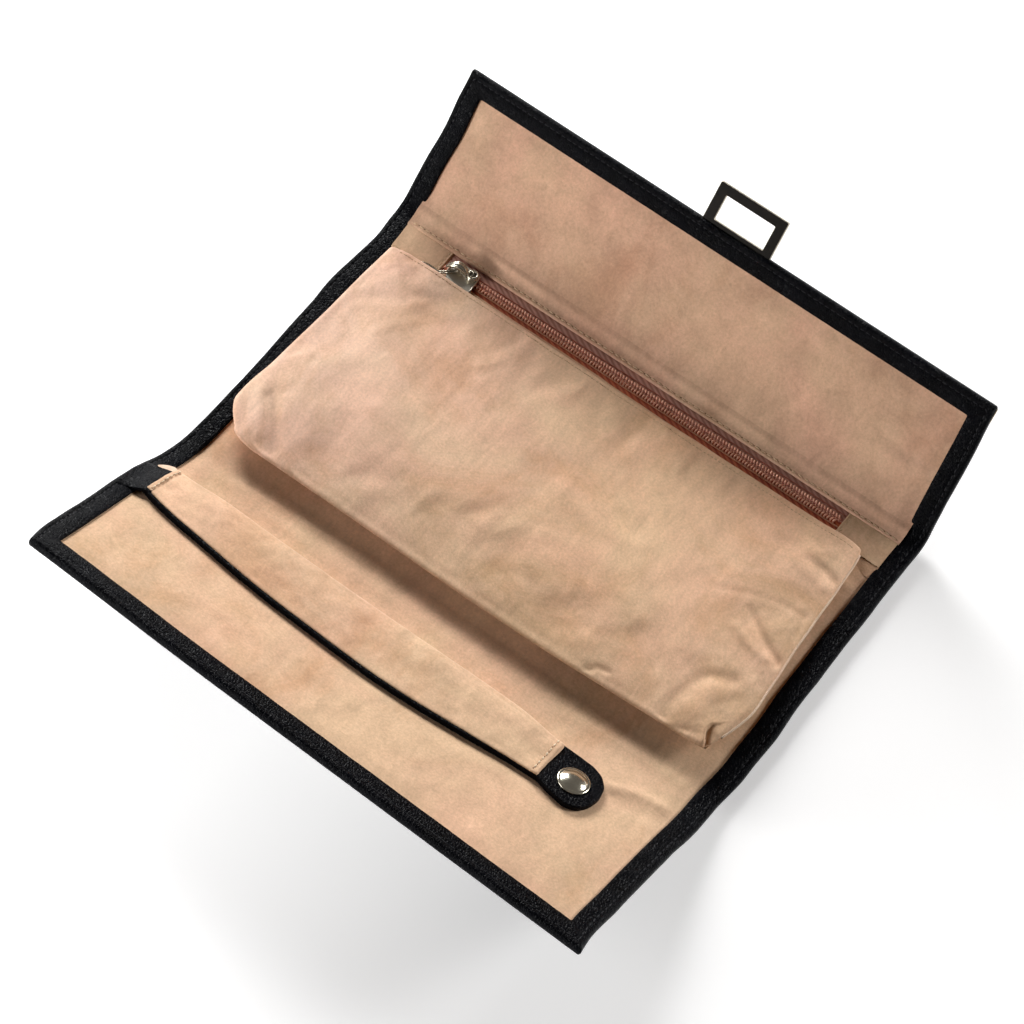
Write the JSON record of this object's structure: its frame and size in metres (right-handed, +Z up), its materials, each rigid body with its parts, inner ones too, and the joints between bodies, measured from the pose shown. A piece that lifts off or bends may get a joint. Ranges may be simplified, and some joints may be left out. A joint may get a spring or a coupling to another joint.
{
  "type": "jewelry roll",
  "caption": "Fold-up jewelry roll of dark leather lined with suede: hinged front and clasp flaps, zipped pouch, padded ring bar with a snap, metal frame clasp.",
  "frame": {"origin": "middle of the centre panel's underside", "axes": "+X along the width to the snap's side, +Y from the front flap to the clasp flap, +Z up from the table"},
  "size_m": [0.25, 0.2827, 0.0671],
  "materials": {
    "leather": "black pebbled leather, semi-gloss",
    "suede": "peach-tan pigskin suede, matt",
    "board": "card stiffener",
    "padding": "soft padding",
    "zip_tape": "woven rust-brown tape",
    "zip_coil": "pink-tan nylon coil",
    "metal": "polished pale-gold nickel plate"
  },
  "bodies": {
    "centre": {"centre_cover": "leather", "centre_board": "board", "centre_lining": "suede", "front_fold_inner_leather": "leather", "front_fold_inner_suede": "suede", "back_fold_inner_leather": "leather", "back_fold_inner_suede": "suede", "pouch_hem": "suede"},
    "front_spine": {"front_spine_cover": "leather", "front_spine_padding": "padding", "front_spine_lining": "suede", "front_fold_outer_leather": "leather", "front_fold_outer_suede": "suede"},
    "front_flap": {"front_cover": "leather", "front_board": "board", "front_lining": "suede", "snap_stud": "metal", "snap_post": "metal", "lock_base": "metal", "lock_backing": "metal", "bar_strap": "leather"},
    "ring_bar": {"bar_back": "leather", "bar_suede": "suede", "bar_padding": "padding", "snap_cap": "metal", "snap_socket": "metal"},
    "turn_knob": {"lock_knob": "metal"},
    "back_spine": {"back_spine_cover": "leather", "pocket_lining": "suede", "zip_tape_lower": "zip_tape", "zip_tape_upper": "zip_tape", "zip_coil_lower": "zip_coil", "zip_coil_upper": "zip_coil", "zip_facing": "suede", "zip_end_left": "suede", "zip_end_right": "suede", "back_fold_outer_leather": "leather", "back_fold_outer_suede": "suede"},
    "back_flap": {"back_cover": "leather", "back_board": "board", "back_lining": "suede", "clasp_frame": "metal"},
    "zip_slider": {"zip_slider": "metal", "zip_bail": "metal"},
    "zip_pull": {"zip_pull": "metal"},
    "pouch": {"pouch_front": "suede", "pouch_back": "suede"}
  },
  "joints": [
    {"name": "front_spine_fold", "type": "hinge", "parent": "centre", "child": "front_spine", "pos_m": [0, -0.0592, 0.002], "axis": [-1, 0, 0], "range_deg": [-12, 78], "deforming": ["front_fold_inner_leather", "front_fold_inner_suede"]},
    {"name": "front_flap_fold", "type": "hinge", "parent": "front_spine", "child": "front_flap", "pos_m": [0, -0.07485, 0.00533], "axis": [-1, 0, 0], "range_deg": [-1.5, 78], "deforming": ["front_fold_outer_leather", "front_fold_outer_suede"]},
    {"name": "back_spine_fold", "type": "hinge", "parent": "centre", "child": "back_spine", "pos_m": [0, 0.0592, 0.002], "axis": [1, 0, 0], "range_deg": [0, 90], "deforming": ["back_fold_inner_leather", "back_fold_inner_suede", "pouch_hem"]},
    {"name": "back_flap_fold", "type": "hinge", "parent": "back_spine", "child": "back_flap", "pos_m": [0, 0.0798, 0.002], "axis": [1, 0, 0], "range_deg": [-52, 38], "deforming": ["back_fold_outer_leather", "back_fold_outer_suede"]},
    {"name": "ring_bar_lift", "type": "hinge", "parent": "front_flap", "child": "ring_bar", "pos_m": [-0.1144, -0.07373, 0.00784], "axis": [0, 0.9135, -0.4067], "range_deg": [-90, 0]},
    {"name": "knob_turn", "type": "hinge", "parent": "front_flap", "child": "turn_knob", "pos_m": [0.0025, -0.12091, 0.01817], "axis": [0, 0.4067, 0.9135], "range_deg": [0, 90]},
    {"name": "pouch_lift", "type": "hinge", "parent": "centre", "child": "pouch", "pos_m": [0, 0.0568, 0.0054], "axis": [1, 0, 0], "range_deg": [-100, 3.8]},
    {"name": "slider_travel", "type": "slide", "parent": "back_spine", "child": "zip_slider", "axis": [1, 0, 0], "range_m": [0, 0.17]},
    {"name": "pull_flip", "type": "hinge", "parent": "zip_slider", "child": "zip_pull", "pos_m": [-0.0866, 0.0678, 0.00715], "axis": [-0.1219, 0.9925, 0], "range_deg": [0, 160]}
  ]
}
